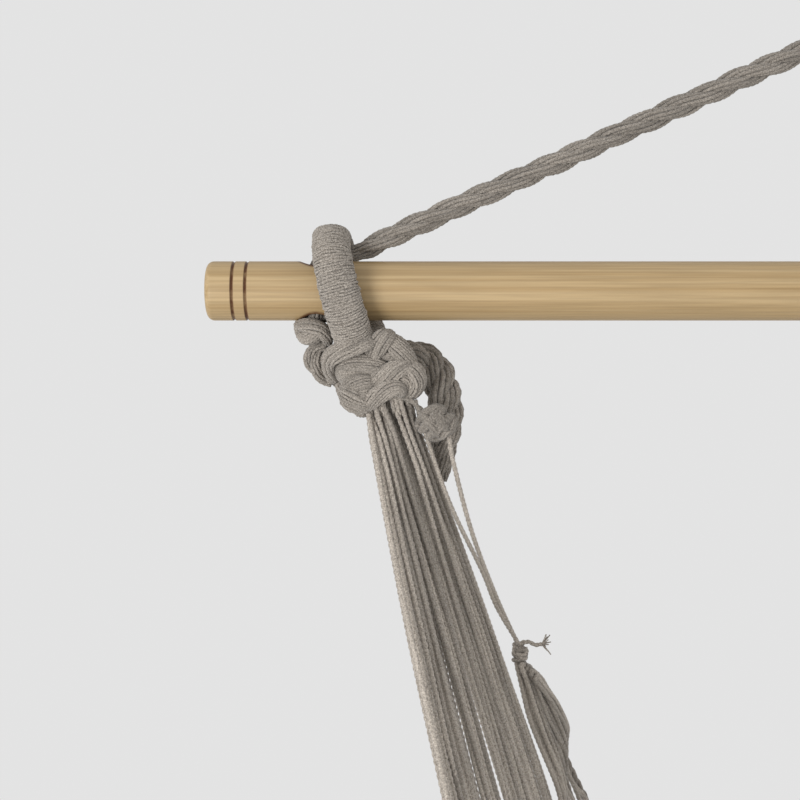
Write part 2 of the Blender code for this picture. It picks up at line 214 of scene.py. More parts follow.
# -------- strands to meshes
class Pile:
    """Collects swept strands, then makes them one mesh object."""

    def __init__(self, name):
        self.name = name
        self.verts, self.quads, self.caps, self.uvs, self.shares = [], [], [], [], []
        self.count = 0

    def add(self, paths, radius, sides=10, lobes=0, depth=0.0, lay=1.0, closed=False, start=None, share=0.0):
        """Sweeps a round section along each path; lobes twist round it once in every `lay`."""
        paths = np.asarray(paths, float)
        if paths.ndim == 2:
            paths = paths[None]
        s, n, _ = paths.shape
        tangent = tangents(paths, closed)
        normal = transported(tangent, start)
        side = np.cross(tangent, normal)
        step = np.linalg.norm(np.diff(paths, axis=1), axis=2)
        arc = np.concatenate([np.zeros((s, 1)), np.cumsum(step, axis=1)], axis=1)
        radius = np.broadcast_to(np.asarray(radius, float), (s, n))
        ring = np.broadcast_to(ring_angles(sides), (s, n, sides))
        r = np.broadcast_to(radius[..., None], (s, n, sides))
        if lobes:
            phase = rng.uniform(0, TURN, s)[:, None, None]
            turn = ring - (TURN / lay) * arc[..., None] + phase
            r = r * (1 - depth + depth * np.abs(np.cos(lobes * turn / 2)) ** 0.75 * 1.25)
        v = (
            paths[:, :, None]
            + (r * np.cos(ring))[..., None] * normal[:, :, None]
            + (r * np.sin(ring))[..., None] * side[:, :, None]
        )
        rows = n if closed else n - 1
        i = np.arange(rows)[:, None]
        j = np.arange(sides)[None]
        i2, j2 = (i + 1) % n, (j + 1) % sides
        corners = (i * sides + j, i * sides + j2, i2 * sides + j2, i2 * sides + j)
        quad = np.stack(np.broadcast_arrays(*corners), axis=-1).reshape(-1, 4)
        ahead = np.minimum(i + 1, n - 1)
        for k in range(s):
            base = self.count + k * n * sides
            self.quads.append(quad + base)
            corners = ((i, j), (i, j + 1), (ahead, j + 1), (ahead, j))
            uv = [np.stack(np.broadcast_arrays(arc[k][a], b / sides), -1) for a, b in corners]
            self.uvs.append(np.stack(uv, axis=-2).reshape(-1, 2))
            if not closed:
                self.caps.append((base + np.arange(sides))[::-1])
                self.caps.append(base + (n - 1) * sides + np.arange(sides))
        self.verts.append(v.reshape(-1, 3))
        share = np.broadcast_to(share, (s, n))[..., None]
        self.shares.append(np.broadcast_to(share, (s, n, sides)).ravel())
        self.count += s * n * sides

    def add_rings(self, path, rings, start=None):
        """Adds a swept shape whose rings of points are worked out already."""
        self.add(path, 1.0, sides=rings.shape[1], start=start)
        self.verts[-1] = rings.reshape(-1, 3)

    def make(self, material):
        verts = np.concatenate(self.verts)
        quads = np.concatenate(self.quads)
        caps = self.caps
        totals = np.concatenate([np.full(len(quads), 4), [len(c) for c in caps]]).astype(np.int32)
        loop_verts = np.concatenate([quads.ravel(), *caps]).astype(np.int32)
        starts = np.concatenate([[0], np.cumsum(totals)[:-1]]).astype(np.int32)
        mesh = bpy.data.meshes.new(self.name)
        mesh.vertices.add(len(verts))
        mesh.vertices.foreach_set("co", verts.astype(np.float32).ravel())
        mesh.loops.add(len(loop_verts))
        mesh.loops.foreach_set("vertex_index", loop_verts)
        mesh.polygons.add(len(totals))
        mesh.polygons.foreach_set("loop_start", starts)
        mesh.polygons.foreach_set("use_smooth", np.ones(len(totals), bool))
        mesh.update(calc_edges=True)
        layer = mesh.uv_layers.new(name="strand")
        uv = np.concatenate([*self.uvs, np.zeros((sum(len(c) for c in caps), 2))])
        layer.data.foreach_set("uv", uv.astype(np.float32).ravel())
        mesh.validate()
        mesh.materials.append(material)
        obj = bpy.data.objects.new(self.name, mesh)
        bpy.context.scene.collection.objects.link(obj)
        return obj


def settle(obj, stands_for, body=None):
    """What a piece rides on (one given no body is left unattached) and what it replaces."""
    if body:
        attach(obj, body)
    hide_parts(stands_for)


def helix_strands(path, radius, lay, count=3, spread=0.5, start=None):
    """Centre lines of `count` strands laid up round a path."""
    tangent = tangents(path[None], False)
    normal = transported(tangent, start)[0]
    side = np.cross(tangent[0], normal)
    arc = arc_along(path)
    out = []
    for k in range(count):
        turn = TURN * (arc / lay + k / count)
        offset = np.cos(turn)[:, None] * normal + np.sin(turn)[:, None] * side
        out.append(path + offset * (np.asarray(radius) * spread)[:, None])
    return np.stack(out)


def add_rope(pile, path, radius, lay, yarns=7, yarn_share=0.185):
    """Three-strand rope; each strand is a ring of yarns laid the other way round a core."""
    radius = np.broadcast_to(np.asarray(radius, float), (len(path),))
    for strand in helix_strands(path, radius, lay):
        mine = radius * 0.53
        yarn = radius * yarn_share
        pile.add(strand, mine - yarn, sides=12)
        lines = helix_strands(strand, mine - yarn * 0.6, -lay * 1.9, yarns, 1.0)
        lines = lines + rng.normal(0, 0.12 * MM, (yarns, 1, 3)) + soft_noise(yarns, len(path), 18, 0.22 * MM)
        pile.add(lines, np.broadcast_to(yarn, (yarns, len(path))), 8, 2, 0.38, 7 * MM)


def oval_rings(path, wide, across, high, out, sides):
    """Rings of points, `wide` along across and `high` along out."""
    theta = ring_angles(sides)
    return (
        path[:, None]
        + (wide[:, None] * np.cos(theta))[..., None] * across[:, None]
        + (high[:, None] * np.sin(theta))[..., None] * out[:, None]
    )


def bundle(pile, path, out, wide, high, yarns, yarn, twist):
    """Bulging band: yarns side by side round a flat oval section, over a core."""
    n = len(path)
    tangent = unit(np.gradient(path, axis=0))
    out = unit(out - (out * tangent).sum(-1, keepdims=True) * tangent)
    across = np.cross(tangent, out)
    phi = np.linspace(0, TURN, 241)
    steps = np.hypot(wide.max() * np.diff(np.cos(phi)), high.max() * np.diff(np.sin(phi)))
    reach = np.concatenate([[0], np.cumsum(steps)])
    arc = np.linspace(0, 1, n)
    lines = []
    for k in range(yarns):
        place = (k / yarns + twist * (arc - 0.5) + smooth_noise(n, 15, 0.010)) % 1.0
        turn = np.interp(place * reach[-1], reach, phi)
        lines.append(
            path
            + across * ((wide - yarn) * np.cos(turn))[:, None]
            + out * ((high - yarn) * np.sin(turn))[:, None]
        )
    lines = np.stack(lines) + soft_noise(yarns, n, 12, 0.16 * MM)
    pile.add(lines, yarn, 9, 2, 0.40, 6.2 * MM)
    pile.add_rings(path, oval_rings(path, wide - yarn * 1.6, across, high - yarn * 1.6, out, 20))


def leaf(n, ends=0.55):
    """Width share of a band that swells in the middle."""
    t = np.linspace(-1, 1, n)
    return ends + (1 - ends) * (1 - np.abs(t) ** 2.6)


def wind(pile, path, wide, thick, pitch, yarn, axis=(1.0, 0.0, 0.0), per_turn=80, ply=3.4 * MM):
    """Yarn wound tightly round a path whose section is an ellipse, `wide` along axis."""
    tangent, w, n = section_axes(path, axis)
    arc = arc_along(path)
    count = int(arc[-1] / pitch * per_turn)
    want = np.linspace(0, arc[-1], count)

    def pick(values):
        return np.stack([np.interp(want, arc, values[:, k]) for k in range(3)], 1)

    wide = np.interp(want, arc, np.broadcast_to(wide, arc.shape))
    thick = np.interp(want, arc, np.broadcast_to(thick, arc.shape))
    turn = TURN * want / pitch
    jitter = smooth_noise(count, per_turn // 13, 0.20)
    push = smooth_noise(count, per_turn // 15, 0.26)
    slow = 0.16 * np.sin(want / (4.1 * MM) + 2.6 * np.cos(turn))
    sway = slow + 0.16 * np.sin(want / (2.3 * MM) + 5.4 * np.sin(turn))
    helix = (
        pick(path)
        + ((wide + push * yarn) * np.cos(turn))[:, None] * pick(w)
        + ((thick + push * yarn) * np.sin(turn))[:, None] * pick(n)
        + ((jitter + sway) * pitch)[:, None] * pick(tangent)
    )
    pile.add(helix, yarn, sides=6, lobes=2, depth=0.42, lay=ply)


def add_core(pile, path, wide, thick, axis=(1.0, 0.0, 0.0)):
    """Plain elliptic core inside a winding."""
    _, w, n = section_axes(path, axis)
    wide = np.broadcast_to(wide, (len(path),))
    thick = np.broadcast_to(thick, (len(path),))
    pile.add_rings(path, oval_rings(path, wide, w, thick, n, 24), start=w[:1])


def add_blob(pile, centre, size, tilt=0.0, rows=20, sides=28):
    """Ellipsoid core of a knot, along its local X."""
    t = np.linspace(0.02, math.pi - 0.02, rows)
    path = np.stack([-np.cos(t), 0 * t, 0 * t], 1)
    theta = ring_angles(sides)
    v = np.stack(
        [
            np.broadcast_to(-np.cos(t)[:, None], (rows, sides)),
            np.sin(t)[:, None] * np.cos(theta),
            np.sin(t)[:, None] * np.sin(theta),
        ],
        axis=-1,
    ) * np.asarray(size)
    c, s = math.cos(tilt), math.sin(tilt)
    v = np.stack([c * v[..., 0] + s * v[..., 2], v[..., 1], -s * v[..., 0] + c * v[..., 2]], -1)
    pile.add_rings(path, v + centre)


# -------- materials
YARN_LIGHT, YARN_DARK = (0.52, 0.468, 0.408), (0.160, 0.138, 0.116)
PINE_LIGHT, PINE_DARK, SCORCH = (0.450, 0.328, 0.178), (0.335, 0.222, 0.100), (0.09, 0.035, 0.014)


def feed(tree, value, socket):
    """Links another node's output to the socket, or sets a plain value on it."""
    if isinstance(value, bpy.types.NodeSocket):
        tree.links.new(value, socket)
    else:
        socket.default_value = value


def node(tree, kind, **values):
    """New node; each value feeds the input of that name, or else is set as a property."""
    made = tree.nodes.new(f"ShaderNode{kind}")
    for key, value in values.items():
        name = key.replace("_", " ")
        if name in made.inputs:
            feed(tree, value, made.inputs[name])
        else:
            setattr(made, key, value)
    return made


def new_material(name, **values):
    """Material with values on its shader's own inputs."""
    material = bpy.data.materials.new(name)
    material.use_nodes = True
    shader = material.node_tree.nodes["Principled BSDF"]
    for key, value in values.items():
        shader.inputs[key.replace("_", " ")].default_value = value
    return material, material.node_tree, shader


def calculate(tree, operation, *operands):
    made = node(tree, "Math", operation=operation)
    for operand, socket in zip(operands, made.inputs, strict=False):
        feed(tree, operand, socket)
    return made.outputs["Value"]


def noise(tree, place, scale, detail=2.0, roughness=0.5, distortion=0.0):
    made = node(
        tree, "TexNoise", Vector=place, Scale=scale, Detail=detail, Roughness=roughness, Distortion=distortion
    )
    return made.outputs["Fac"]


def stretched(tree, place, scale):
    return node(tree, "Mapping", Vector=place, Scale=scale).outputs["Vector"]


def remap(tree, value, low=(0.0, 1.0), high=(0.0, 1.0)):
    """Carries the first range over to the second."""
    (a, b), (c, d) = low, high
    return node(tree, "MapRange", Value=value, From_Min=a, From_Max=b, To_Min=c, To_Max=d).outputs["Result"]


def two_tone(tree, value, dark, light, start, end, factor):
    """Dark to light between start and end, times a factor."""
    ramp = node(tree, "ValToRGB", Fac=value)
    first, last = ramp.color_ramp.elements
    first.position, first.color = start, (*dark, 1)
    last.position, last.color = end, (*light, 1)
    made = node(tree, "VectorMath", operation="SCALE", Vector=ramp.outputs["Color"], Scale=factor)
    return made.outputs["Vector"]


def add_bump(tree, shader, strength, distance, height):
    bump = node(tree, "Bump", Strength=strength, Distance=distance, Height=height)
    feed(tree, bump.outputs["Normal"], shader.inputs["Normal"])


def cotton(name, speckle, tone, darkest=0.84, lightest=1.12):
    """Matt heathered cotton yarn; each strand's tone lies between darkest and lightest."""
    material, tree, shader = new_material(
        name, Roughness=0.93, Sheen_Weight=0.25, Sheen_Roughness=0.5, Specular_IOR_Level=0.15
    )
    place = node(tree, "TexCoord").outputs["Object"]
    fine = noise(tree, place, 1250.0, 3.0, 0.65)
    strand = node(tree, "NewGeometry").outputs["Random Per Island"]
    shade = remap(tree, strand, high=(darkest * tone, lightest * tone))
    drift = remap(tree, noise(tree, place, 38.0), (0.3, 0.7), (0.92, 1.07))
    both = calculate(tree, "MULTIPLY", shade, drift)
    spread = 0.13 * speckle
    colour = two_tone(tree, fine, YARN_DARK, YARN_LIGHT, 0.5 - spread, 0.5 + spread, both)
    feed(tree, colour, shader.inputs["Base Color"])
    along = node(tree, "UVMap", uv_map="strand").outputs["UV"]
    fibres = noise(tree, stretched(tree, along, (260.0, 9.0, 1.0)), 1.0, 4.0, 0.7)
    add_bump(tree, shader, 0.8, 0.0006, calculate(tree, "ADD", fibres, fine))
    return material


def pine():
    """Sanded pine with fine grain along X, burnt grooves and dark rims round the holes."""
    material, tree, shader = new_material("pine", Specular_IOR_Level=0.35)
    place = node(tree, "TexCoord").outputs["Object"]
    grain = noise(tree, stretched(tree, place, (1.9, 260.0, 260.0)), 1.0, 4.0, 0.6, 0.25)
    pores = noise(tree, stretched(tree, place, (16.0, 700.0, 700.0)), 1.0, 3.0)
    fleck = remap(tree, pores, (0.35, 0.65), (0.88, 1.05))
    bare = two_tone(tree, grain, PINE_DARK, PINE_LIGHT, 0.30, 0.62, fleck)
    split = node(tree, "SeparateXYZ", Vector=place)
    reach = calculate(tree, "ABSOLUTE", split.outputs["X"])
    masks = []
    for inset in GROOVES:
        off = calculate(tree, "ABSOLUTE", calculate(tree, "SUBTRACT", reach, HALF - inset))
        masks.append(remap(tree, off, (0.0014, 0.0007)))
    # a thin dark ring round each drilled hole, in the same dark colour as the burnt grooves
    along = calculate(tree, "SUBTRACT", reach, HALF - HOLE_INSET)
    flat = node(tree, "CombineXYZ", X=along, Y=split.outputs["Y"])
    off = node(tree, "VectorMath", operation="LENGTH", Vector=flat.outputs["Vector"]).outputs["Value"]
    masks.append(remap(tree, off, (HOLE_RADIUS + 0.0024, HOLE_RADIUS + 0.0007)))
    total = masks[0]
    for mask in masks[1:]:
        total = calculate(tree, "MAXIMUM", total, mask)
    uneven = remap(tree, noise(tree, place, 160.0), (0.25, 0.6), (0.55, 1.0))
    mixed = node(tree, "Mix", data_type="RGBA")
    factor, first, second = mixed.inputs[0], mixed.inputs[6], mixed.inputs[7]
    feed(tree, calculate(tree, "MULTIPLY", total, uneven), factor)
    feed(tree, bare, first)
    feed(tree, (*SCORCH, 1), second)
    feed(tree, mixed.outputs[2], shader.inputs["Base Color"])
    feed(tree, remap(tree, grain, high=(0.42, 0.58)), shader.inputs["Roughness"])
    add_bump(tree, shader, 0.20, 0.0003, pores)
    return material


whipping = cotton("cotton_whipping", 1.0, 1.0)
knot_yarn = cotton("cotton_knot", 1.3, 0.87)
rope_yarn = cotton("cotton_rope", 1.3, 0.72)
string_yarn = cotton("cotton_string", 1.3, 1.17, 0.66, 1.16)
# the tail's yarn is given a darker tone (0.78): painted shade, for the tail hanging in shadow behind the
# collar, the strings and the button
tail_yarn_painted_shade = cotton("cotton_tail_painted_shade", 1.1, 0.78)
wood = pine()


# -------- spreader bar
def make_bar():
    facets = 96
    near = [(BAR_R - END_ROUNDING) * k / 4 for k in range(1, 5)]
    profile = [(r, HALF) for r in [0.0003, *near]]
    for k in range(1, 9):
        turn = math.radians(90) * k / 8
        sunk, in_by = 1 - math.sin(turn), 1 - math.cos(turn)
        profile.append((BAR_R - END_ROUNDING * sunk, HALF - END_ROUNDING * in_by))
    for inset in GROOVES:
        for offset, depth in ((-1.0, 0), (-0.7, 0.35), (0, 0.8), (0.7, 0.35), (1.0, 0)):
            profile.append((BAR_R - depth * MM, HALF - inset - offset * MM))
    profile.append((BAR_R, HALF - HOLE_INSET + 20 * MM))
    rows = profile + [(r, -x) for r, x in reversed(profile)]
    pile = Pile("spreader_bar_pine")
    path = np.array([(x, 0.0, BAR_Z) for _, x in rows])
    theta = ring_angles(facets)
    r = np.array([r for r, _ in rows])[:, None]
    along = np.broadcast_to(path[:, :1], (len(rows), facets))
    pile.add_rings(path, np.stack([along, r * np.cos(theta), BAR_Z - r * np.sin(theta)], axis=-1))
    bar = pile.make(wood)
    for side_name, side in SIDES:
        cutter_pile = Pile(f"{side_name}_drill")
        drill = np.array([(side * (HALF - HOLE_INSET), 0, BAR_Z + z) for z in (-0.03, 0, 0.03)])
        cutter_pile.add(drill, HOLE_RADIUS, sides=64)
        cutter = cutter_pile.make(wood)
        cut = bar.modifiers.new("hole", "BOOLEAN")
        cut.operation = "DIFFERENCE"
        cut.object = cutter
        bpy.context.view_layer.update()
        baked = bpy.data.meshes.new_from_object(bar.evaluated_get(bpy.context.evaluated_depsgraph_get()))
        bar.modifiers.clear()
        bar.data = baked
        bpy.data.objects.remove(cutter, do_unlink=True)
    bar.data.polygons.foreach_set("use_smooth", np.ones(len(bar.data.polygons), bool))
    bar.data.set_sharp_from_angle(angle=math.radians(35))
    settle(bar, "spreader_bar", "hanger")


# -------- suspension rope
ROPE_RADIUS = 6.5
# from the stopper up through the bar's hole and over the eye loop: place and radius in mm
ROPE_ROUTE = (
    (70.3, 0, -19.0, ROPE_RADIUS),
    (70.3, 0, 0.0, ROPE_RADIUS),
    (70.8, 0, 12.0, 6.0),
    (74.3, 0, 20.5, 4.5),
    (80.8, 0, 23.2, 3.8),
    (89.3, 0, 23.5, 3.8),
    (96.8, 0, 25.1, 4.9),
    (105.3, 0, 28.8, 6.3),
    (116.3, 0, 34.3, ROPE_RADIUS),
)


def make_suspension(side_name, side):
    crown, _ = place_box("crown_knot")
    pts = at([r[:3] for r in ROPE_ROUTE], side)
    apex = np.array([side * 0.014, 0.0, crown.z - 0.0065])
    far = [pts[-1] + (apex - pts[-1]) * t for t in (0.25, 0.5, 0.75, 1.0)]
    radius = np.array([r[3] for r in ROPE_ROUTE] + [ROPE_RADIUS] * len(far)) * MM
    path, radius = smooth(np.concatenate([pts, far]), 1.2 * MM, radius)
    pile = Pile(f"{side_name}_suspension_rope_strands")
    add_rope(pile, path, radius * 1.06, 68 * MM)
    rope = pile.make(rope_yarn)
    settle(rope, f"{side_name}_suspension_rope", "hanger")


# -------- hanging eye and neck
def place_box(name):
    lo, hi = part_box(name)
    return (lo + hi) / 2, (hi - lo) / 2


EYE_RADIUS, EYE_BEND = 8.5 * MM, 28.5 * MM


def make_eye():
    lo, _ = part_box("hanging_eye")
    foot = EYE_RADIUS + 0.3 * MM
    knee = foot + 0.5 * MM, lo.z + 6 * MM
    rows = [(-foot, lo.z), (-foot - 0.5 * MM, knee[1])]
    for k in range(9):
        turn = math.radians(-100 + 25 * k)
        rows.append((EYE_BEND * math.sin(turn), EYE_RADIUS - EYE_BEND + EYE_BEND * math.cos(turn)))
    rows += [knee, (foot, lo.z)]
    path = smooth([(x, 0.0, z) for x, z in rows], 1.0 * MM)
    pile = Pile("hanging_eye_whipping")
    add_core(pile, path, 7.0 * MM, 7.0 * MM, axis=(0.0, 1.0, 0.0))
    wind(pile, path, 7.5 * MM, 7.5 * MM, 1.45 * MM, 0.95 * MM, axis=(0.0, 1.0, 0.0), per_turn=56)
    settle(pile.make(whipping), "hanging_eye", "hanging_eye")


def rotation(heading, lean):
    c, s = math.cos(heading), math.sin(heading)
    a = np.array([[c, -s, 0], [s, c, 0], [0, 0, 1.0]])
    c, s = math.cos(lean), math.sin(lean)
    return a @ np.array([[1.0, 0, 0], [0, c, -s], [0, s, c]])


def turned_bands(pile, centre, size, tilts, yarns, yarn):
    """Round knot: groups of parallel yarn rings, each group laid over the knot at its own tilt."""
    turn = np.linspace(0, TURN, 64, endpoint=False)
    for heading, lean in tilts:
        rot = rotation(heading, lean)
        for k in range(yarns):
            t = ((k + 0.5) / yarns * 2 - 1) * 0.62
            flat = math.sqrt(1 - t * t)
            ring = np.stack([np.cos(turn) * flat, np.sin(turn) * flat, 0 * turn + t], 1)
            grow = 1 + 0.03 * np.sin(turn * 3 + heading * 5 + k)
            ring = (ring @ rot.T) * np.asarray(size) * grow[:, None]
            pile.add(ring + centre, yarn, sides=9, lobes=2, depth=0.2, lay=9 * MM, closed=True)


def make_neck():
    for name, body in (("eye_knot", "eye_knot"), ("crown_knot", "hanger")):
        centre, half = place_box(name)
        centre = np.array(centre)
        core = np.array([half.x] * 3) - 2.5 * MM
        pile = Pile(f"{name}_yarn")
        add_blob(pile, centre, core)
        turned_bands(pile, centre, core + 0.6 * MM, ((0.3, 1.25), (1.9, 0.95), (3.2, 0.35)), 6, 1.65 * MM)
        settle(pile.make(knot_yarn), name, body)
    centre, half = place_box("neck_binding")
    path = np.array([(0.0, 0.0, centre.z + t * (half.z - 0.4 * MM)) for t in np.linspace(-1, 1, 31)])
    pile = Pile("neck_binding_yarn")
    add_core(pile, path, 12.0 * MM, 12.0 * MM)
    wind(pile, path, 12.2 * MM, 12.2 * MM, 1.9 * MM, 1.15 * MM)
    settle(pile.make(whipping), "neck_binding", "neck")


# -------- whipped eye loop
# down each side of the bar: degrees round it, gap to it in mm, share of the full width
LEG = (
    (-66.5, 7.1, 1.0),
    (-50.2, 4.7, 1.0),
    (-27.4, 2.2, 1.0),
    (0.0, 1.2, 1.0),
    (28.8, 4.9, 0.90),
    (58.3, 7.5, 0.76),
)
LOOP_INSET, LOOP_BORE, LOOP_RADIUS, LOOP_TOP = 80.0, 19.0, 11.5, 36.0
FRONT_SHIFTS = (14.5, 13.0, 9.5, 5.5, 2.0, 0.5)
BACK_SHIFTS = (26.0, 22.5, 17.0, 10.5, 5.5, 2.0)


def loop_leg(way, shifts):
    rows = []
    for (degrees, gap, share), shift in zip(LEG, shifts, strict=True):
        distance = LOOP_BORE + gap + LOOP_RADIUS * share
        turn = math.radians(degrees)
        rows.append([LOOP_INSET + shift, way * distance * math.cos(turn), distance * math.sin(turn), share])
    for row, closer in zip(rows, (0.66, 0.86, 0.975), strict=False):
        row[1] *= closer
    rows[0][3] = 0.86
    return rows


def make_eye_loop(side_name, side):
    rows = [*loop_leg(-1, FRONT_SHIFTS), (LOOP_INSET, 0.0, LOOP_TOP, 0.70), *loop_leg(1, BACK_SHIFTS)[::-1]]
    (x0, y0, z0, _), (x1, y1, z1, _) = rows[0], rows[-1]
    rows = [(x0 + 2.0, y0 + 9.0, z0 - 9.0, 0.7), *rows, (x1 + 1.0, y1 - 9.0, z1 - 9.0, 0.7)]
    path, share = smooth(at([r[:3] for r in rows], side), 1.0 * MM, np.array([r[3] for r in rows]))
    wide = 11.2 * MM * (0.92 + 0.08 * (share - 0.7) / 0.3) + 0.6 * MM
    thick = 9.6 * MM * (0.62 + 0.38 * (share - 0.7) / 0.3)
    pile = Pile(f"{side_name}_eye_loop_whipping")
    add_core(pile, path, wide - 0.5 * MM, thick - 0.5 * MM, axis=(side, 0.0, 0.0))
    wind(pile, path, wide, thick, 1.55 * MM, 0.90 * MM, axis=(side, 0.0, 0.0), ply=2.3 * MM)
    settle(pile.make(whipping), f"{side_name}_eye_loop", "sling")


# -------- sling surface
def mix(a, b, t):
    return a + (b - a) * t


def sling_points(share, along):
    """Arrays of share (0 front edge to 1 back edge) and along (-1 to 1) -> points."""
    share, along = np.broadcast_arrays(np.asarray(share, float), np.asarray(along, float))
    angle = mix(FRONT_ANGLE, BACK_ANGLE, share)
    depth = SEAT_DEPTH - BACK_RISE * np.maximum(0.0, (share - 0.15) / 0.85) ** 2
    lean = np.tan(mix(FRONT_LEAN, BACK_LEAN, share))
    mouth_x = -HALF + MOUTH_INSET + MOUTH_HALF_WIDTH * (2 * share - 1)
    arm = ARM_SHARE * depth
    arm_x = mouth_x + arm * lean
    bend_x = arm_x + (depth - arm) * lean
    reach = np.abs(along)
    t = (1 - reach) / 0.5
    outer_x, outer_drop = mix(mouth_x, arm_x, t), arm * t
    t = 1 - reach / 0.5
    inner_x = (1 - t) ** 2 * arm_x + 2 * t * (1 - t) * bend_x
    inner_drop = (1 - t) ** 2 * arm + (1 - (1 - t) ** 2) * depth
    x = np.where(reach > 0.5, outer_x, inner_x)
    drop = np.where(reach > 0.5, outer_drop, inner_drop)
    y = drop * np.sin(angle)
    z = BAR_Z - MOUTH_DROP - drop * np.cos(angle)
    return np.stack([np.where(along > 0, -x, x), y, z], -1)


def mouth_place(share, layer, side):
    """Where a string leaves the collar: packed in an ellipse that slants up towards the middle."""
    across = 2 * share - 1
    x = -HALF + MOUTH_INSET + MOUTH_HALF_WIDTH * across
    y = layer * MOUTH_HALF_DEPTH * np.sqrt(np.maximum(0.0, 1 - 0.8 * across**2))
    z = BAR_Z - MOUTH_DROP + MOUTH_SLANT * across + 11 * MM
    return np.stack([-x if side > 0 else x, y, z], -1)


def tie_place(side):
    return np.array([side * (HALF - TIE_POINT[0]), TIE_POINT[1], BAR_Z + TIE_POINT[2]])


def fan_blend(obj, pile):
    """Writes each point's share into the mesh, bakes the object's transform, then puts the final points back.
    """
    final = np.concatenate(pile.verts)
    fan = np.zeros_like(final)
    fan[:, 1] = np.concatenate(pile.shares)
    obj.data.vertices.foreach_set("co", fan.astype(np.float32).ravel())
    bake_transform(obj)
    obj.data.vertices.foreach_set("co", final.astype(np.float32).ravel())
    obj.data.update()


STRINGS = 58
PITCH = 1.0 / STRINGS
SHARES = (np.arange(STRINGS) + 0.5) / STRINGS
LAYERS = np.resize((-0.95, 0.30, -0.32, 0.95), STRINGS)
FRONT_EDGE, MIDDLE, BACK_EDGE = 0.19, 0.5, 0.81
GROUP = 3
# where each string of a group lies: mm beside and behind the group's middle
PACKED = ((0.0, -3.2), (-1.6, 4.2), (1.6, 5.2))
STEP = 1.3 * MM


def waved(lines, size):
    """Adds slow irregular bends, none at the ends."""
    t = np.linspace(0, 1, lines.shape[1])
    ends = np.minimum(1, np.minimum(t, 1 - t) * 9)
    for line in lines:
        for axis, part in ((0, 1.0), (1, 1.0), (2, 0.3)):
            for turns in (1, 2.2, 4.1, 7.3):
                phase = rng.uniform(0, TURN)
                high = size * part * rng.normal(0, 1) / turns
                line[:, axis] += high * np.sin(turns * math.pi * t + phase) * ends
    return lines


def make_strings(side_name, side):
    count = round(SEAT_DEPTH * ARM_SHARE / STEP)
    t = np.linspace(0, 1, count)
    down = t[None, :, None]
    swap = rng.normal(0, 0.035, STRINGS)
    start = mouth_place(np.clip(SHARES + swap, 0, 1), LAYERS, side)
    end = sling_points(SHARES, side * 0.5)[:, None]
    lines = waved(start[:, None] * (1 - down) + end * down, 1.5 * MM)
    calm = mouth_place(SHARES, LAYERS, side)[:, None] * (1 - down) + end * down
    # strings leave the collar in threes, lying one behind another, and part again above the net
    hold = np.clip(t / 0.06, 0, 1) * np.clip((0.97 - t) / 0.35, 0, 1)
    hold = eased(hold)[:, None]
    for first in range(0, STRINGS, GROUP):
        members = lines[first : first + GROUP]
        middle = members.mean(axis=0) * 0.35 + calm[first : first + GROUP].mean(axis=0) * 0.65
        layer = (-4.5 if (first // GROUP) % 2 == 0 else 3.2) * MM * (1 - t) ** 2
        for line, (beside, behind) in zip(members, PACKED, strict=False):
            off = np.zeros_like(line)
            off[:, 0] = beside * MM + rng.normal(0, 0.3 * MM)
            off[:, 1] = behind * MM + layer
            line += (middle + off - line) * hold * 0.92
    sag = np.sin(math.pi * np.clip(t / 0.9, 0, 1))
    belly = 3.6 * SHARES**2 - 4.2 * (1 - SHARES) ** 3
    lines[:, :, 0] -= side * MM * belly[:, None] * sag[None]
    lines = waved(lines, 0.9 * MM)
    for label, lo, hi, stands_for in (
        ("front", 0.0, FRONT_EDGE, "front_strings"),
        ("near_arm", FRONT_EDGE, MIDDLE, "arm_strings"),
        ("far_arm", MIDDLE, BACK_EDGE, "arm_strings"),
    ):
        pile = Pile(f"{side_name}_{label}_string_fan")
        for k in np.flatnonzero((SHARES >= lo) & (SHARES < hi)):
            pile.add(lines[k], STRING_R * rng.uniform(0.90, 1.08), *ARM_YARN, share=SHARES[k])
        strings = pile.make(string_yarn)
        if label == "near_arm":
            fan_blend(strings, pile)
        elif label == "far_arm":
            fan_blend(strings, pile)
        body = "front_edge" if label == "front" else None
        settle(strings, f"{side_name}_{stands_for}", body)


def make_tied_strings(side_name, side):
    """Back strings folded over and tied in a bunch, then fanning down to the net."""
    top = tie_place(side) - np.array([0, 0, 6.9 * MM])
    pile = Pile(f"{side_name}_back_string_fan")
    picks = np.flatnonzero(SHARES >= BACK_EDGE)
    for k, pick in enumerate(picks):
        f = k / (len(picks) - 1)
        crest = top + mm(-side * (-1.0 + 12.5 * f), 5.0 * math.sin(k * 2.4), -1.0 - 9.0 * f**1.8)
        for way in (-1.0, 1.0):
            share = np.clip(SHARES[pick] + way * PITCH * 0.25, 0.0, 1.0)
            foot = sling_points(share, side * 0.5)
            out = mm(-side * way * 1.3, way * 1.8, 0.0)
            drop = unit((foot - crest)[None])[0]
            upper = np.array([-side * (0.5 + 6.0 * f) * MM, 0, 0])
            lower = np.array([-side * (5.0 + 4.5 * f) * MM, 0, 0])
            rows = np.stack([
                crest - out * 0.05,
                crest + out * 0.8 - np.array([0, 0, 0.8 * MM]),
                crest + out * 1.15 + drop * 6 * MM,
                crest * 0.62 + foot * 0.38 + out * 1.5 + upper,
                crest * 0.28 + foot * 0.72 + out * 1.0 + lower,
                foot,
            ])
            line = waved(smooth(rows, STEP)[None], 1.1 * MM)[0]
            pile.add(line, STRING_R * rng.uniform(0.94, 1.06), *ARM_YARN, share=SHARES[pick])
    settle(pile.make(string_yarn), f"{side_name}_back_strings", "back_edge")


# -------- net
DIAMONDS = 17
NET_STEPS, NET_ROWS = 620, 700


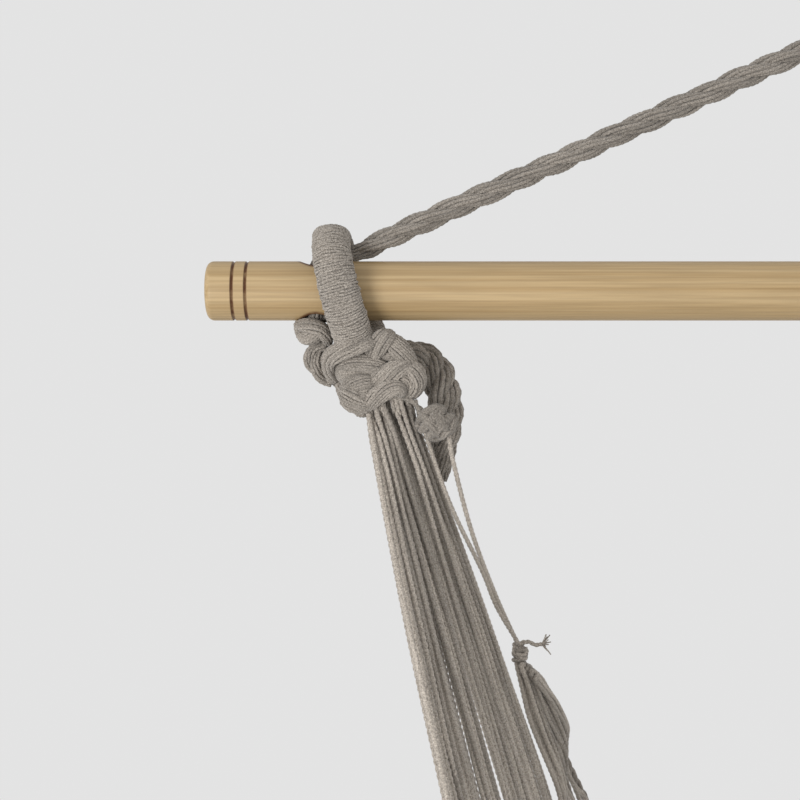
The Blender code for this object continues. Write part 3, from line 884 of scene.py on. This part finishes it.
def net_lines(picks):
    """Strings of the seat, each linked with its neighbours in open diamonds."""
    along = np.linspace(-0.5, 0.5, NET_STEPS)
    phase = (along + 0.5) * DIAMONDS * TURN
    ease = eased(np.minimum(1, (0.5 - np.abs(along)) * DIAMONDS / 0.75))
    lines, shares = [], []
    for k in picks:
        flip = 1 if k % 2 == 0 else -1
        swing = np.sin(phase) - 0.10 * np.sin(3 * phase)
        share = SHARES[k] + flip * swing * ease * PITCH * 0.53
        share = share + smooth_noise(NET_STEPS, 60, PITCH * 0.06) * ease
        share = np.clip(share, 0.002, 0.998)
        turn = np.cos(phase)
        rise = flip * turn / (0.30 + np.abs(turn)) * 1.25 * STRING_R * ease
        here = sling_points(share, along)
        ahead = sling_points(share + 0.004, along)
        beside = sling_points(share, along + 0.002)
        out = unit(np.cross(ahead - here, beside - here))
        lines.append(here + out * rise[:, None])
        shares.append(share)
    return lines, shares


def make_net():
    places = np.linspace(0, 1, NET_ROWS)
    for label, lo, hi, stands_for, body in (
        ("front", 0.0, FRONT_EDGE, "front_net", "front_edge"),
        ("near_seat", FRONT_EDGE, MIDDLE, "seat_net", "front_edge"),
        ("far_seat", MIDDLE, BACK_EDGE, "seat_net", "back_edge"),
        ("back", BACK_EDGE, 1.0, "back_net", "back_edge"),
    ):
        pile = Pile(f"{label}_net_string")
        for line, share in zip(*net_lines(np.flatnonzero((SHARES >= lo) & (SHARES < hi))), strict=True):
            share = np.interp(places, np.linspace(0, 1, NET_STEPS), share)
            pile.add(resample(line, NET_ROWS), STRING_R, *NET_YARN, share=share[None])
        net = pile.make(string_yarn)
        if stands_for == "seat_net":
            fan_blend(net, pile)
            body = None
        settle(net, stands_for, body)


EDGE_ROWS, EDGE_TAPER = 660, 44


def make_selvedges():
    for name, share, way, body in (
        ("front_selvedge", 0.0, -1.0, "front_edge"),
        ("back_selvedge", 1.0, 1.0, "back_edge"),
    ):
        along = np.linspace(-0.5, 0.5, 400)
        net_edge = sling_points(share, along) + np.array([0.0, way * 4.0 * MM, 0.0])
        # both ends run on up the outer string, thinning out
        ends = []
        for k, end_side in ((0, -1.0), (-1, 1.0)):
            goal, part = mouth_place(share, 0.0, end_side), 0.12
            if share > BACK_EDGE:
                goal, part = tie_place(end_side), 0.30
            ends.append(net_edge[k] + (goal - net_edge[k]) * part - np.array([0.0, way * 3.0 * MM, 0.0]))
        path = resample(np.concatenate([ends[:1], net_edge[4:-4], ends[1:]]), EDGE_ROWS)
        from_end = np.minimum(np.arange(EDGE_ROWS), np.arange(EDGE_ROWS - 1, -1, -1))
        thin = np.clip(from_end / EDGE_TAPER, 0.12, 1.0) ** 0.6
        pile = Pile(f"{name}_rope")
        strands = helix_strands(path, 3.6 * MM * thin, 26 * MM, 2, 0.48)
        pile.add(strands, np.broadcast_to(1.8 * MM * thin, (2, EDGE_ROWS)), 9, 2, 0.26, 12 * MM)
        settle(pile.make(rope_yarn), name, body)


# -------- collar knot
CORE = mm(28.0, 17.0, 15.0)
CORE_TILT = math.radians(-18)
# bands across the front of the collar: width, then its route in mm towards the middle, up and to the front
COLLAR_BANDS = (
    (12.5, ((-23.5, 6.5, 6.5), (-13.0, 8.5, 14.0), (-4.5, 7.6, 16.5), (3.5, 5.8, 16.0), (11.5, 3.0, 11.0))),
    (
        14.0,
        ((-25.0, -2.6, -4.0), (-28.6, 4.0, 4.0), (-27.6, 10.6, 12.0), (-20.6, 15.0, 19.0))
        + ((-12.0, 17.8, 22.4), (-4.0, 20.6, 21.5), (2.0, 22.0, 14.0)),
    ),
    (9.0, ((3.0, 13.0, 13.0), (11.0, 13.0, 16.0), (18.0, 8.0, 15.0))),
    (14.5, ((-3.0, 9.6, 12.0), (1.6, 16.6, 18.5), (7.4, 23.2, 20.5), (12.0, 26.0, 15.0))),
    (15.5, ((7.5, 24.0, 13.0), (13.0, 20.5, 18.0), (18.6, 14.4, 17.5), (23.5, 7.0, 12.0), (26.5, 1.0, 4.0))),
    (13.5, ((-3.0, -6.4, 12.5), (6.0, -1.4, 18.0), (15.0, 3.4, 20.0), (23.6, 6.2, 17.0))),
    (8.5, ((15.0, -2.0, 14.0), (20.5, -3.5, 15.5), (21.0, -9.0, 12.5))),
    (
        13.5,
        ((20.0, 7.0, 14.5), (26.4, 3.0, 17.0), (28.8, -4.0, 14.0), (25.4, -10.6, 10.0), (18.6, -14.0, 6.0)),
    ),
    (13.0, ((3.9, -6.6, 12.0), (-5.0, -5.4, 17.0), (-13.0, -6.6, 15.0), (-18.6, -10.4, 8.0))),
    (16.5, ((-19.0, -8.0, 9.0), (-15.6, -13.6, 14.5), (-10.2, -18.2, 14.5), (-3.6, -21.6, 9.5))),
    (10.0, ((-12.0, -10.0, 13.0), (-6.0, -12.6, 15.5), (0.0, -15.6, 13.5))),
    (
        12.5,
        ((-6.2, -21.4, 7.5), (-1.0, -16.4, 15.0), (5.0, -11.8, 18.5), (11.3, -8.6, 20.0))
        + ((16.4, -8.6, 19.0), (18.6, -12.0, 15.0)),
    ),
)
# plain cores between the bands: place in the same directions, and half sizes
COLLAR_FILL = (
    ((-7.0, -13.0, 3.0), (11.0, 9.5, 9.0)),
    ((13.0, 10.0, 3.0), (9.0, 9.0, 9.0)),
    ((14.0, -6.0, 3.0), (9.0, 7.0, 8.0)),
)
# a strand of the knot that stands up behind it, under the stopper: mm towards the middle, back and up
BEHIND = ((-31.0, 3.0, 22.0), (-37.0, 3.0, 18.0), (-38.5, 4.0, 11.5), (-34.0, 6.0, 4.5), (-26.0, 8.0, -1.0))


def collar_points(rows, side):
    """Rows in mm from the collar's centre (towards the middle, back, up) to world points."""
    rows = np.asarray(rows, float) * MM
    x = side * (HALF - COLLAR_INSET - rows[:, 0])
    return np.stack([x, rows[:, 1], BAR_Z - COLLAR_DROP + rows[:, 2]], -1)


def knot_band(pile, centre, rows, width, high, yarn, side, flip):
    """Band laid over a knot; flip -1 turns it round the knot's centre to the back."""
    rows = np.asarray(rows, float) * MM
    path = np.stack([rows[:, 0] * -side, -rows[:, 2], rows[:, 1]], -1) * flip
    path = smooth(path, 0.9 * MM)
    out = unit(path) * np.array([0.8, 1.0, 0.8]) + np.array([0.0, -0.4 * flip, 0.0])
    n = len(path)
    wide = width / 2 * MM * leaf(n)
    around = math.pi * (1.5 * (width / 2 + high) - math.sqrt(width / 2 * high)) * MM * 0.93
    yarns = max(6, round(around / (1.98 * yarn)))
    twist = 0.28 * rng.uniform(0.6, 1.4)
    bundle(pile, path + centre, out, wide, high * MM * leaf(n, 0.7), yarns, yarn, twist)


def make_collar(side_name, side):
    centre = np.array([side * (HALF - COLLAR_INSET), 0.0, BAR_Z - COLLAR_DROP + 1.6 * MM])
    pile = Pile(f"{side_name}_collar_knot_yarn")
    add_blob(pile, centre, CORE, tilt=side * CORE_TILT)
    for flip in (1.0, -1.0):
        for (u, v, w), size in COLLAR_FILL:
            offset = mm(u * -side, -w, v) * flip
            add_blob(pile, centre + offset, np.array(size) * MM, rows=12, sides=16)
    for flip in (1.0, -1.0):
        for width, rows in COLLAR_BANDS:
            if flip < 0:
                rows = tuple((u * 0.84, v * 0.92, w) for u, v, w in rows)
            knot_band(pile, centre, rows, width, 4.2, 1.0 * MM, side, flip)
    add_rope(pile, smooth(collar_points(BEHIND, side), 1.2 * MM), 6.0 * MM, 44 * MM)
    settle(pile.make(knot_yarn), f"{side_name}_collar_knot", "sling")


# from the collar: mm towards the middle, back and up, and the radius
TAIL = (
    (8.0, 20.0, 12.0, 8.0),
    (27.0, 28.0, 15.0, 9.4),
    (36.0, 31.0, 10.5, 9.8),
    (42.3, 30.0, 2.6, 10.0),
    (45.6, 28.5, -7.4, 10.0),
    (47.9, 28.0, -19.1, 9.8),
    (48.6, 28.0, -30.8, 9.4),
    (46.8, 29.0, -42.4, 8.4),
    (45.6, 31.0, -54.0, 6.6),
    (45.3, 33.0, -68.0, 3.8),
)


def make_tail(side_name, side):
    rows = np.array(TAIL)
    path, radius = smooth(collar_points(rows[:, :3], side), 1.2 * MM, rows[:, 3] * MM)
    pile = Pile(f"{side_name}_collar_tail_strands")
    add_rope(pile, path, radius * 1.10, 40 * MM, yarns=8, yarn_share=0.165)
    # its darker yarn is painted shade, for the shadow it hangs in behind the collar and the strings
    tail = pile.make(tail_yarn_painted_shade)
    settle(tail, f"{side_name}_collar_tail", "sling")


STOPPER_BANDS = (
    (10.0, ((-9.0, -1.5, 3.0), (-4.0, -3.5, 6.5), (2.5, -1.6, 7.0), (7.0, 3.0, 3.0))),
    (10.5, ((-10.5, 5.0, 3.5), (-3.5, 4.6, 8.5), (4.5, 2.0, 9.0), (8.6, -2.5, 6.0), (9.6, -7.0, 1.0))),
)


def make_stopper(side_name, side):
    """Rope end knotted under the bar: crossed bands over a small core."""
    middle = np.array([side * (HALF - HOLE_INSET + 2.2 * MM), 0.0, BAR_Z - 27.0 * MM])
    pile = Pile(f"{side_name}_stopper_knot_yarn")
    add_blob(pile, middle, mm(9.5, 8.0, 6.5), rows=14, sides=20)
    for flip in (1.0, -1.0):
        for width, rows in STOPPER_BANDS:
            knot_band(pile, middle, rows, width, 3.8, 1.12 * MM, side, flip)
    settle(pile.make(knot_yarn), f"{side_name}_stopper_knot", "hanger")


# -------- tie: button, cord and knot
BUTTON = (42.5, -8.0, -27.5)
BUTTON_BANDS = (
    (7.0, ((-11.0, 1.0, 2.0), (-6.5, 6.5, 5.5), (0.0, 9.4, 5.5), (5.0, 9.0, 3.0))),
    (7.0, ((-10.0, -5.5, 2.5), (-5.0, -0.5, 8.4), (0.0, 4.4, 9.0), (5.0, 8.6, 4.5))),
    (6.8, ((-5.0, -9.0, 2.5), (0.0, -4.5, 8.2), (5.0, 0.5, 8.6), (10.0, 4.8, 4.0))),
    (6.8, ((2.0, -9.4, 2.5), (6.0, -6.0, 6.2), (10.0, -1.5, 5.0), (11.4, 3.0, 1.0))),
    (6.4, ((-8.6, 5.0, 5.5), (-5.4, 0.6, 9.4), (-1.8, -3.6, 9.0), (1.4, -8.4, 4.5))),
    (6.4, ((-1.6, 8.4, 6.2), (1.4, 3.6, 9.8), (4.8, -1.6, 9.2), (8.4, -6.0, 4.5))),
)
# rings of the tie knot: height, tilt and radius
TIE_RINGS = ((4.2, 0.75, 3.0), (2.2, -0.55, 3.8), (-0.6, 0.45, 4.3), (-3.2, -0.4, 4.4), (-5.6, 0.25, 4.3))
TIE_LOOP = ((-3.6, -2.0, -5.0), (-4.2, -4.0, 0.0), (0.4, -5.6, 3.2), (4.4, -3.6, 0.6), (4.0, -2.0, -4.4))
TIE_END = ((2.0, -3.0, 6.0), (6.0, -4.0, 7.0), (10.5, -4.5, 5.0), (15.0, -4.5, 5.6))


def make_button(side_name, side):
    centre = collar_points([BUTTON], side)[0] + mm(side * 2.2, -1.0, -1.0)
    pile = Pile(f"{side_name}_tie_button_yarn")
    add_blob(pile, centre, mm(10.4, 7.8, 9.4), rows=12, sides=18)
    for flip in (1.0, -1.0):
        for width, rows in BUTTON_BANDS:
            knot_band(pile, centre, rows, width, 2.8, 1.3 * MM, side, flip)
    # two strings hold it to the collar
    for shift in (0.0, 1.0):
        rows = (
            (18.0 + 3 * shift, -10.0, -11.0 - shift),
            (25.0 + shift, -12.0, -15.5),
            (31.0, -11.0, -20.0 - 2 * shift),
            (36.0, -9.0, -25.0 - 2 * shift),
        )
        pile.add(smooth(collar_points(rows, side), MM), 1.35 * MM, 9, 2, 0.28, 8 * MM)
    settle(pile.make(rope_yarn), f"{side_name}_tie_button", "sling")


def add_tie_string(side_name, label, path, radius):
    """One tie string, swept along the path as a piece of its own that rides on no body."""
    pile = Pile(f"{side_name}_tie_cord_{label}")
    pile.add(path, radius * MM, *TIE_YARN)
    cord = pile.make(string_yarn)
    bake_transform(cord)
    settle(cord, f"{side_name}_tie_cord")


def make_tie_cord(side_name, side):
    tie = tie_place(side)
    button = collar_points([BUTTON], side)[0]
    rows = np.stack([
        button + mm(-side * 6.0, 3.0, -9.0),
        button + mm(-side * 8.5, 8.0, -24.0),
        button * 0.55 + tie * 0.45 + mm(side * 4.0, -3.0, -1.0),
        button * 0.25 + tie * 0.75 + mm(side * 3.6, -1.0, 1.0),
        tie + mm(side * 2.0, -2.0, 6.0),
    ])
    path = smooth(rows, 1.2 * MM)
    add_tie_string(side_name, "string", path, 1.55)
    # a second string comes from the collar's mouth and joins the cord on its way down
    rows = np.stack([
        *collar_points(((27.0, 2.0, -14.0), (33.0, 3.0, -34.0), (50.0, 14.0, -82.0)), side),
        path[round(len(path) * 0.62)] + mm(side * 2.4, -1.0, 0.0),
        path[round(len(path) * 0.80)] + mm(side * 2.6, -1.5, 0.0),
        tie + mm(side * 1.0, -3.5, 5.5),
    ])
    add_tie_string(side_name, "second_string", smooth(rows, 1.2 * MM), 1.5)


def make_tie_knot(side_name, side):
    tie = tie_place(side)
    mirrored = np.array([-side, 1, 1])
    pile = Pile(f"{side_name}_tie_knot_yarn")
    add_blob(pile, tie, mm(3.9, 3.9, 6.2), rows=10, sides=14)
    turn = np.linspace(0, TURN, 48, endpoint=False)
    for z, tilt, reach in TIE_RINGS:
        ring = np.stack([np.cos(turn), np.sin(turn), z / reach + tilt * np.cos(turn + 0.4)], -1) * reach * MM
        pile.add(tie + ring, 1.5 * MM, *KNOT_YARN, closed=True)
    for turned in (0.4, 1.6):
        loop = np.array(TIE_LOOP)
        loop[:, 2] *= turned - 1.0
        pile.add(smooth(tie + loop * MM * mirrored, 0.8 * MM), 1.5 * MM, *KNOT_YARN)
    end = np.array(TIE_END) * MM * mirrored
    pile.add(smooth(tie + end, 0.8 * MM), 1.45 * MM, 9, 2, 0.30, 7 * MM)
    # its frayed tip
    tip = tie + end[-1]
    for _ in range(16):
        spread = mm(-side * rng.uniform(2.0, 6.5), rng.normal(0, 2.0), rng.normal(1.0, 3.4))
        rows = np.stack([tip, tip + spread * 0.5 + rng.normal(0, 0.3 * MM, 3), tip + spread])
        pile.add(smooth(rows, 0.8 * MM), 0.42 * MM, 6)
    settle(pile.make(string_yarn), f"{side_name}_tie_knot", "back_edge")


# -------- light and floor
FLOOR_RADIUS, FLOOR_GAP = 1.6, 0.20


def area_light(name, place, target, size, power):
    data = bpy.data.lights.new(name, "AREA")
    data.shape = "DISK"
    data.size = size
    data.energy = power
    light = bpy.data.objects.new(name, data)
    bpy.context.scene.collection.objects.link(light)
    light.location = place
    light.rotation_euler = (Vector(target) - Vector(place)).to_track_quat("-Z", "Y").to_euler()


def make_stage():
    world = bpy.data.worlds.new("studio")
    bpy.context.scene.world = world
    world.use_nodes = True
    background = world.node_tree.nodes["Background"]
    background.inputs["Color"].default_value = (0.77, 0.77, 0.77, 1)
    background.inputs["Strength"].default_value = 1.0
    target = (-0.30, 0.0, BAR_Z - 0.15)
    area_light("key_light", (-1.8, -2.3, BAR_Z - 0.5), target, 1.2, 52.0)
    area_light("fill_light", (1.9, -1.9, BAR_Z + 0.3), target, 1.6, 6.0)
    lo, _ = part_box("front_net")
    bpy.ops.mesh.primitive_circle_add(
        vertices=96, radius=FLOOR_RADIUS, fill_type="NGON", location=(0, 0, lo.z - FLOOR_GAP)
    )
    floor = bpy.context.object
    floor.name = "floor"
    paint, _, _ = new_material("floor_paint", Base_Color=(0.66, 0.66, 0.66, 1), Roughness=0.9)
    floor.data.materials.append(paint)
    bpy.context.scene.view_settings.view_transform = "Standard"


make_camera()
make_stage()
make_bar()
make_eye()
make_neck()
for name, sign in SIDES:
    make_suspension(name, sign)
    make_eye_loop(name, sign)
    make_strings(name, sign)
    make_tied_strings(name, sign)
    make_collar(name, sign)
    make_tail(name, sign)
    make_stopper(name, sign)
    make_button(name, sign)
    make_tie_cord(name, sign)
    make_tie_knot(name, sign)
make_net()
make_selvedges()
